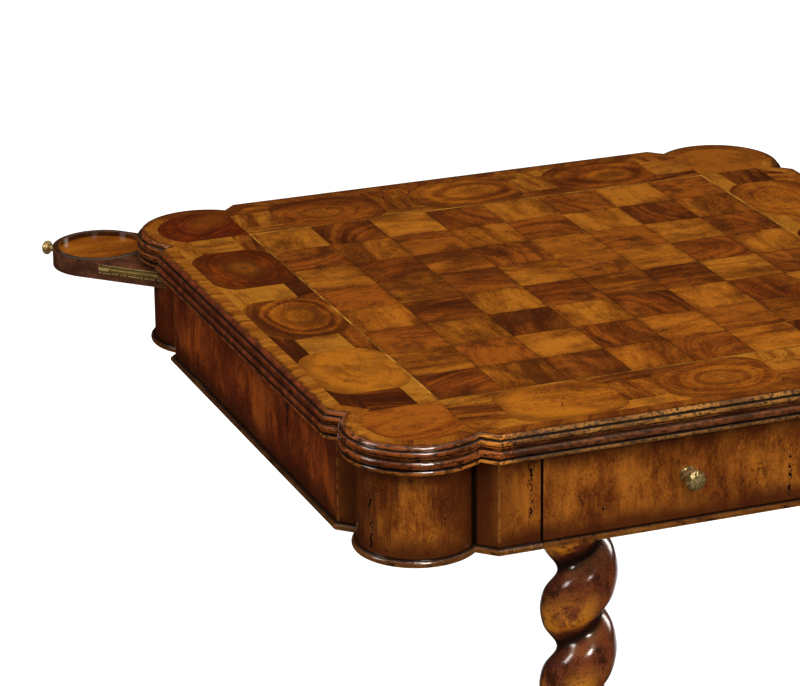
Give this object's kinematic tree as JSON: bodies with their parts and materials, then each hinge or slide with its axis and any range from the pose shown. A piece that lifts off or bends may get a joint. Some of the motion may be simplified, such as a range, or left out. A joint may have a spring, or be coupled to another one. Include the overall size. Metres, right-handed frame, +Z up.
{
  "type": "games table",
  "caption": "Pedestal chess table with an inlaid board, oyster-veneered border, a twisted column, small drawers and round-ended cup slides that draw out of the corners.",
  "frame": {"origin": "on the floor, under the axis of the column and the centre of the board", "axes": "+Z up; -Y towards the side whose drawer is nearer the left corner, +X to the right of that side"},
  "size_m": [0.7857, 0.7907, 0.762],
  "materials": {
    "walnut": "high-gloss lacquer",
    "worn_bead": "gloss lacquer, rubbed",
    "oyster_veneer": "high-gloss lacquer",
    "filler_veneer": "high-gloss lacquer",
    "crossband_veneer": "high-gloss lacquer",
    "roundel_veneer": "high-gloss lacquer",
    "light_veneer": "high-gloss lacquer",
    "dark_veneer": "high-gloss lacquer",
    "stringing": "high-gloss lacquer",
    "ebonised": "high-gloss lacquer",
    "aged_brass": "aged, lacquered",
    "steel": "zinc plated",
    "poplar": "sanded",
    "beech": "sanded",
    "oak": "sealed"
  },
  "bodies": {
    "table": {"back_rail_left": "walnut", "back_rail_right": "walnut", "base_platform": "walnut", "board_stringing": "stringing", "border_oysters": "oyster_veneer", "bottom_bead": "worn_bead", "bottom_board": "poplar", "bun_feet": "walnut", "cap_screws": "steel", "centre_bearer": "poplar", "cleat_screws": "steel", "column_bolt": "steel", "column_cap_block": "walnut", "column_plinth": "walnut", "corner_post_back_left": "walnut", "corner_post_back_right": "walnut", "corner_post_front_left": "walnut", "corner_post_front_right": "walnut", "corner_roundels": "roundel_veneer", "crossbanding": "crossband_veneer", "dark_squares": "dark_veneer", "drawer_guides": "beech", "drawer_stops": "beech", "filler_blocks": "filler_veneer", "filler_wedges": "filler_veneer", "foot_dowels": "poplar", "front_rail_left": "walnut", "front_rail_right": "walnut", "left_rail": "walnut", "light_squares": "light_veneer", "right_rail": "walnut", "slide_guide_pins": "aged_brass", "slide_guides": "beech", "top_cleats": "poplar", "top_core": "poplar", "top_moulding": "walnut", "top_rails": "poplar", "twisted_column": "walnut", "under_moulding": "walnut"},
    "front_drawer": {"front_drawer_back": "oak", "front_drawer_floor": "oak", "front_drawer_front": "walnut", "front_drawer_knob": "aged_brass", "front_drawer_sides": "oak"},
    "back_drawer": {"back_drawer_back": "oak", "back_drawer_floor": "oak", "back_drawer_front": "walnut", "back_drawer_knob": "aged_brass", "back_drawer_sides": "oak"},
    "back_left_slide": {"slide_back_left_board": "walnut", "slide_back_left_channels": "aged_brass", "slide_back_left_knob": "aged_brass", "slide_back_left_recess_floor": "roundel_veneer", "slide_back_left_rim": "ebonised"},
    "front_right_slide": {"slide_front_right_board": "walnut", "slide_front_right_channels": "aged_brass", "slide_front_right_knob": "aged_brass", "slide_front_right_recess_floor": "roundel_veneer", "slide_front_right_rim": "ebonised"}
  },
  "joints": [
    {"name": "front_drawer_slide", "type": "slide", "parent": "table", "child": "front_drawer", "axis": [0, -1, 0], "range_m": [0, 0.17]},
    {"name": "back_drawer_slide", "type": "slide", "parent": "table", "child": "back_drawer", "axis": [0, 1, 0], "range_m": [0, 0.17]},
    {"name": "back_left_slide_travel", "type": "slide", "parent": "table", "child": "back_left_slide", "axis": [-0.7071, 0.7071, 0], "range_m": [-0.1172, 0]},
    {"name": "front_right_slide_travel", "type": "slide", "parent": "table", "child": "front_right_slide", "axis": [0.7071, -0.7071, 0], "range_m": [0, 0.1172]}
  ]
}
